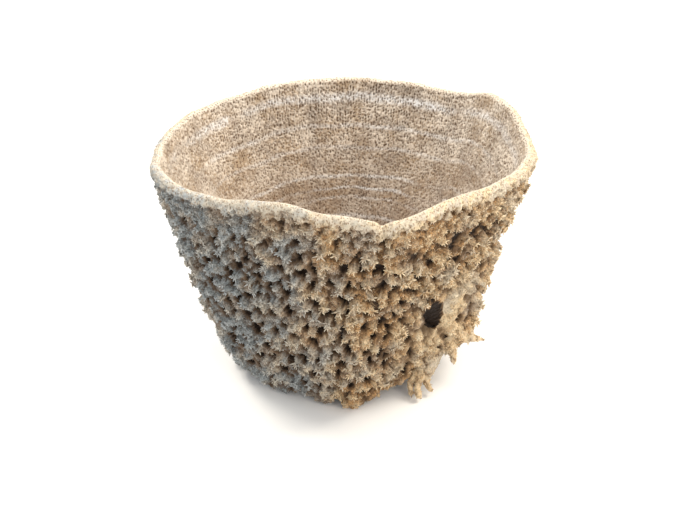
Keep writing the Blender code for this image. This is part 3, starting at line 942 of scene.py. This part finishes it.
def buildRoots():
    points, normals, faces, low = [], [], [], 0
    for number, path in enumerate(roots["paths"]):
        line = sweptPath(path)
        ahead = np.gradient(line[:, :3], axis=0)
        ahead /= np.linalg.norm(ahead, axis=1, keepdims=True)
        side = np.cross(ahead, (0.3, 1.0, 0.2))
        side /= np.linalg.norm(side, axis=1, keepdims=True)
        over = np.cross(ahead, side)
        count = roots["around"]
        turn = np.arange(count) * 2 * math.pi / count
        ring = side[:, None] * np.cos(turn)[None, :, None] + over[:, None] * np.sin(turn)[None, :, None]
        skin = line[:, None, :3] + ring * line[:, None, None, 3]
        flat = skin.reshape(-1, 3)
        knobs = layers(flat, ((1.5, 3.4, number), (0.8, 1.5, number + 9))).reshape(len(line), count)
        shift = roots["knob"] * np.minimum(1, line[:, 3] / 2.2)[:, None] * knobs
        skin = skin + ring * shift[:, :, None]
        skin[:, :, 2] = np.maximum(skin[:, :, 2], 0.15)
        points.append(np.vstack((line[0, :3], skin.reshape(-1, 3), line[-1, :3] + 0.2 * ahead[-1])))
        normals.append(np.vstack((-ahead[0], ring.reshape(-1, 3), ahead[-1])))
        grid = 1 + low + np.arange(len(line) * count).reshape(len(line), count)
        after = np.roll(grid, -1, axis=1)
        first, last = np.full(count, low), np.full(count, low + len(line) * count + 1)
        for corners in (
            (grid[:-1], after[:-1], after[1:]), (grid[:-1], after[1:], grid[1:]),
            (first, after[0], grid[0]), (last, grid[-1], after[-1]),
        ):
            faces.append(np.stack(corners, axis=-1).reshape(-1, 3))
        low += len(line) * count + 2
    points, normals, faces = np.concatenate(points), np.concatenate(normals), np.concatenate(faces)
    first = points[faces[:, 1]] - points[faces[:, 0]]
    second = points[faces[:, 2]] - points[faces[:, 0]]
    outward = (np.cross(first, second) * normals[faces].mean(1)).sum() > 0
    faces = faces if outward else faces[:, ::-1]
    hollow = np.clip(0.5 - 1.2 * noiseOf(points, 2.6, 31), 0, 1)
    values = {"cavityshade": 0.5 * hollow, "tip": 0.3 + 0.35 * (1 - hollow), "band": np.zeros(len(points)),
              "tone": np.full(len(points), 0.55), "warmth": warmthAt(azimuthOf(points))}
    made = meshFrom("rootTips", points, faces, values, outerMaterial)
    print("root tips:", len(faces), "triangles")
    return made, points, normals


rootPiece, rootPoints, rootNormals = buildRoots()

# spikes: stars on the tufts, and short fuzz
spikes = {"length": 3.2, "radius": 0.64, "blunt": 0.3, "perTuft": 10, "perRidge": 6, "perRoot": 3, "seed": 4}
fuzz = {"length": 1.15, "radius": 0.26, "frontDensity": 0.66, "backDensity": 0.55, "seed": 9}


def randomOf(tree, low, high, seed):
    inputs = {2: low, 3: high, "Seed": seed}
    return nodeOf(tree, "FunctionNodeRandomValue", inputs, data_type="FLOAT").outputs[1]


def named(tree, name, kind="FLOAT"):
    return nodeOf(tree, "GeometryNodeInputNamedAttribute", {"Name": name}, data_type=kind).outputs[0]


def stored(tree, geometry, name, value, domain="POINT", kind="FLOAT"):
    inputs = {"Geometry": geometry, "Name": name, "Value": value}
    return nodeOf(tree, "GeometryNodeStoreNamedAttribute", inputs, data_type=kind, domain=domain).outputs[0]


def hairRoots(tree, given, seeds):  # points over the faces, kept where the "fuzz" attribute is high
    inputs = {"Mesh": given["Geometry"], "Density": given["Density"], "Seed": seeds[0]}
    spread = nodeOf(tree, "GeometryNodeDistributePointsOnFaces", inputs, distribute_method="RANDOM")
    keep = calc(tree, "GREATER_THAN", named(tree, "fuzz"), randomOf(tree, 0.0, 1.0, seeds[5]))
    points = stored(tree, spread.outputs["Points"], "aim", spread.outputs["Normal"], kind="FLOAT_VECTOR")
    inputs = {"Geometry": points, "Selection": calc(tree, "LESS_THAN", keep, 0.5)}
    points = nodeOf(tree, "GeometryNodeDeleteGeometry", inputs, domain="POINT").outputs[0]
    return points, 1.0, randomOf(tree, 0.0, 2 * math.pi, seeds[1])


def starRoots(tree, given, seeds):  # each point repeated by its number of spikes, which fan out round it
    places = nodeOf(tree, "GeometryNodeMeshToPoints", {"Mesh": given["Geometry"]}).outputs[0]
    inputs = {"Geometry": places, "Amount": named(tree, "spikes", "INT")}
    copies = nodeOf(tree, "GeometryNodeDuplicateElements", inputs, domain="POINT")
    step = calc(tree, "DIVIDE", 2 * math.pi, named(tree, "spikes", "INT"))
    loose = randomOf(tree, -0.45, 0.45, seeds[1])
    spin = calc(tree, "MULTIPLY_ADD", copies.outputs["Duplicate Index"], step, loose)
    return copies.outputs["Geometry"], named(tree, "size"), spin


def spikeTree(name, rootsOf):
    tree = bpy.data.node_groups.new(name, "GeometryNodeTree")
    tree.interface.new_socket("Geometry", in_out="OUTPUT", socket_type="NodeSocketGeometry")
    numbers = ("Spike Length", "Spike Radius", "Least Lean", "Most Lean", "Bluntness", "Density")
    kinds = {"Geometry": "Geometry", **dict.fromkeys(numbers, "Float"), "Seed": "Int", "Material": "Material"}
    for key, kind in kinds.items():
        tree.interface.new_socket(key, in_out="INPUT", socket_type="NodeSocket" + kind)
    given = tree.nodes.new("NodeGroupInput").outputs
    seeds = [calc(tree, "ADD", given["Seed"], float(k)) for k in range(6)]
    points, size, spin = rootsOf(tree, given, seeds)
    lean = randomOf(tree, given["Least Lean"], given["Most Lean"], seeds[2])
    aim = named(tree, "aim", "FLOAT_VECTOR")
    aimed = nodeOf(tree, "FunctionNodeAlignRotationToVector", {"Vector": aim}, axis="Z").outputs[0]
    euler = nodeOf(tree, "ShaderNodeCombineXYZ", {"X": lean, "Y": 0.0, "Z": spin}).outputs[0]
    turn = nodeOf(tree, "FunctionNodeEulerToRotation", {"Euler": euler}).outputs[0]
    inputs = {"Rotation": aimed, "Rotate By": turn}
    rotation = nodeOf(tree, "FunctionNodeRotateRotation", inputs, rotation_space="LOCAL").outputs[0]
    long = times(tree, given["Spike Length"], size)
    long = times(tree, long, randomOf(tree, 0.6, 1.3, seeds[3]))
    wide = times(tree, given["Spike Radius"], calc(tree, "POWER", size, 0.5))
    scale = nodeOf(tree, "ShaderNodeCombineXYZ", {"X": wide, "Y": wide, "Z": long}).outputs[0]
    inputs = {"Vertices": 3, "Radius Top": given["Bluntness"], "Radius Bottom": 1.0, "Depth": 1.0}
    cone = nodeOf(tree, "GeometryNodeMeshCone", inputs).outputs["Mesh"]
    place = tree.nodes.new("GeometryNodeInputPosition").outputs[0]
    cone = stored(tree, cone, "tip", nodeOf(tree, "ShaderNodeSeparateXYZ", {"Vector": place}).outputs["Z"])
    inputs = {"Points": points, "Instance": cone, "Rotation": rotation, "Scale": scale}
    made = nodeOf(tree, "GeometryNodeInstanceOnPoints", inputs).outputs[0]
    made = stored(tree, made, "tone", randomOf(tree, 0.0, 1.0, seeds[4]), "INSTANCE")
    made = nodeOf(tree, "GeometryNodeRealizeInstances", {"Geometry": made}).outputs[0]
    made = nodeOf(tree, "GeometryNodeSetShadeSmooth", {"Geometry": made}).outputs[0]
    inputs = {"Geometry": made, "Material": given["Material"]}
    made = nodeOf(tree, "GeometryNodeSetMaterial", inputs).outputs[0]
    wire(tree, made, tree.nodes.new("NodeGroupOutput").inputs[0])
    return tree


def trianglesOf(data):
    return len(data.loops) - 2 * len(data.polygons)


def grown(name, source, tree, values):
    # runs a node tree on a source, keeps the result as a plain mesh and removes the source
    modifier = source.modifiers.new("grow", "NODES")
    modifier.node_group = tree
    for item in tree.interface.items_tree:
        if item.item_type == "SOCKET" and item.in_out == "INPUT" and item.name in values:
            modifier[item.identifier] = values[item.name]
    source.update_tag()
    bpy.context.view_layer.update()
    data = bpy.data.meshes.new_from_object(source.evaluated_get(bpy.context.evaluated_depsgraph_get()))
    source.modifiers.remove(modifier)
    bpy.data.objects.remove(source)
    data.name = name
    print(name, trianglesOf(data), "triangles")
    return linked(name, data)


def spikeValues(values, leans, blunt, seed):
    return {"Spike Length": values["length"] * 0.001, "Spike Radius": values["radius"] * 0.001, "Seed": seed,
            "Least Lean": leans[0], "Most Lean": leans[1], "Bluntness": blunt, "Material": spikeMaterial}


def growStars():
    # a star of spikes stands on each tuft and a smaller one on each ridge point and root
    onWall = np.flatnonzero(outer["kinds"] == "wall")
    where = onWall[nearest(treeOf(outer["base"][onWall]), standBase, 1)[0][:, 0]]
    values, azimuth = outer["values"], outer["azimuth"][where]
    share = np.clip(standHeight / 4.2, 0.16, 1.1)
    felt = feltShare(azimuth, outer["level"][where])
    size = (0.36 + 0.62 * share) * (1 - 0.5 * felt) * (0.1 + 0.9 * np.minimum(coarseness(azimuth), 1))
    onRoot = sparse(np.flatnonzero(rootPoints[:, 2] > 1.0), rootPoints, 2.7)
    many = len(onRoot)
    wallFoot = outer["points"][where] - outer["normal"][where] * 0.7
    foot = np.vstack((wallFoot, rootPoints[onRoot] - rootNormals[onRoot] * 0.4))
    aim = np.vstack((outer["normal"][where], rootNormals[onRoot]))
    number = np.where(share > 0.42, spikes["perTuft"], spikes["perRidge"])
    number = np.concatenate((number, np.full(many, spikes["perRoot"])))
    rows = {
        "size": np.concatenate((size, np.full(many, 0.5))),
        "cavityshade": np.concatenate((0.05 + 0.25 * (1 - share), np.full(many, 0.2))),
        "band": np.concatenate((values["band"][where], np.zeros(many))),
        "warmth": np.concatenate((values["warmth"][where], warmthAt(azimuthOf(rootPoints[onRoot])))),
    }
    keep = (foot[:, 2] > 1.2) & (burrowReach(foot) > 1.45)
    data = bpy.data.meshes.new("starRoots")
    data.from_pydata((foot[keep] * 0.001).tolist(), [], [])
    stamp(data, "spikes", number[keep], "INT")
    stamp(data, "aim", aim[keep], "FLOAT_VECTOR", "vector")
    for key, value in rows.items():
        stamp(data, key, value[keep])
    starTree = spikeTree("tuftStarTree", starRoots)
    return grown("tuftStars", linked("starRoots", data), starTree,
                 spikeValues(spikes, (0.80, 1.30), spikes["blunt"], spikes["seed"]))


def growFuzz(name, mask, density, seed):
    # short hairs on one part of the outside, thin in the pits
    kept = {key: outer["values"][key] for key in ("fuzz", "cavityshade", "band", "warmth")}
    source = meshFrom(name + "Source", outer["points"], outer["faces"][mask], kept, spikeMaterial)
    values = spikeValues(fuzz, (0.1, 1.2), 0.0, seed)
    return grown(name, source, fuzzTree, {**values, "Density": density * 1e6})


pieces = [outer["piece"], bowlPiece, rootPiece, growStars()]
fuzzTree = spikeTree("fuzzTree", hairRoots)
faceKinds = outer["kinds"][outer["faces"]]
faceMiddle = outer["points"][outer["faces"]].mean(1)
hairy = (faceKinds != "cut").any(1) & (faceKinds != "hidden").all(1) & (faceMiddle[:, 2] > 1.0)
pieces.append(growFuzz("fuzzFront", hairy & (faceMiddle[:, 1] < 0), fuzz["frontDensity"], fuzz["seed"]))
pieces.append(growFuzz("fuzzBack", hairy & (faceMiddle[:, 1] >= 0), fuzz["backDensity"], fuzz["seed"] + 50))

# floor, light and camera
studio = {
    "floor": (0.94, 0.94, 0.935),
    "sky": ((0.94, 0.97, 1.0, 1.0), 0.95),
    "lens": 51.6,
    "camera": (0.004, -0.5765, 0.396),
    "tilt": 60.6,
    "lamps": {  # place, size, power, colour
        "key": ((-0.75, 0.35, 1.05), 0.35, 12.0, (1.0, 0.93, 0.82)),
        "fill": ((0.85, 0.20, 1.0), 0.5, 13.0, (1.0, 0.92, 0.80)),
        "front": ((0.70, -0.85, 0.60), 0.5, 3.5, (1.0, 0.86, 0.68)),
    },
}


def buildFloor():
    data = bpy.data.meshes.new("floor")
    data.from_pydata([(-3, -3, 0), (3, -3, 0), (3, 3, 0), (-3, 3, 0)], [], [(0, 1, 2, 3)])
    paint = bpy.data.materials.new("palePaper")
    paint.use_nodes = True
    shader = paint.node_tree.nodes["Principled BSDF"]
    wire(paint.node_tree, studio["floor"], shader.inputs["Base Color"])
    wire(paint.node_tree, 0.9, shader.inputs["Roughness"])
    data.materials.append(paint)
    return linked("floor", data)


def buildLights():
    world = bpy.data.worlds.new("studio")
    world.use_nodes = True
    sky = world.node_tree.nodes["Background"].inputs
    sky[0].default_value, sky[1].default_value = studio["sky"]
    scene.world = world
    for name, (place, size, power, color) in studio["lamps"].items():
        lamp = bpy.data.lights.new(name, "AREA")
        lamp.energy, lamp.size, lamp.color = power, size, color
        made = linked(name, lamp)
        made.location = place
        made.rotation_euler = (Vector((0, 0, 0.09)) - Vector(place)).to_track_quat("-Z", "Y").to_euler()


def buildCamera():
    lens = bpy.data.cameras.new("camera")
    lens.lens, lens.sensor_width, lens.clip_start = studio["lens"], 36.0, 0.01
    camera = linked("camera", lens)
    camera.location, camera.rotation_euler = studio["camera"], (math.radians(studio["tilt"]), 0, 0)
    scene.camera = camera
    scene.view_settings.view_transform = "Standard"


floor = buildFloor()
buildLights()
buildCamera()
for piece in pieces:
    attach(piece, "root")
    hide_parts("sponge")
print("triangles in all:", sum(trianglesOf(piece.data) for piece in pieces))
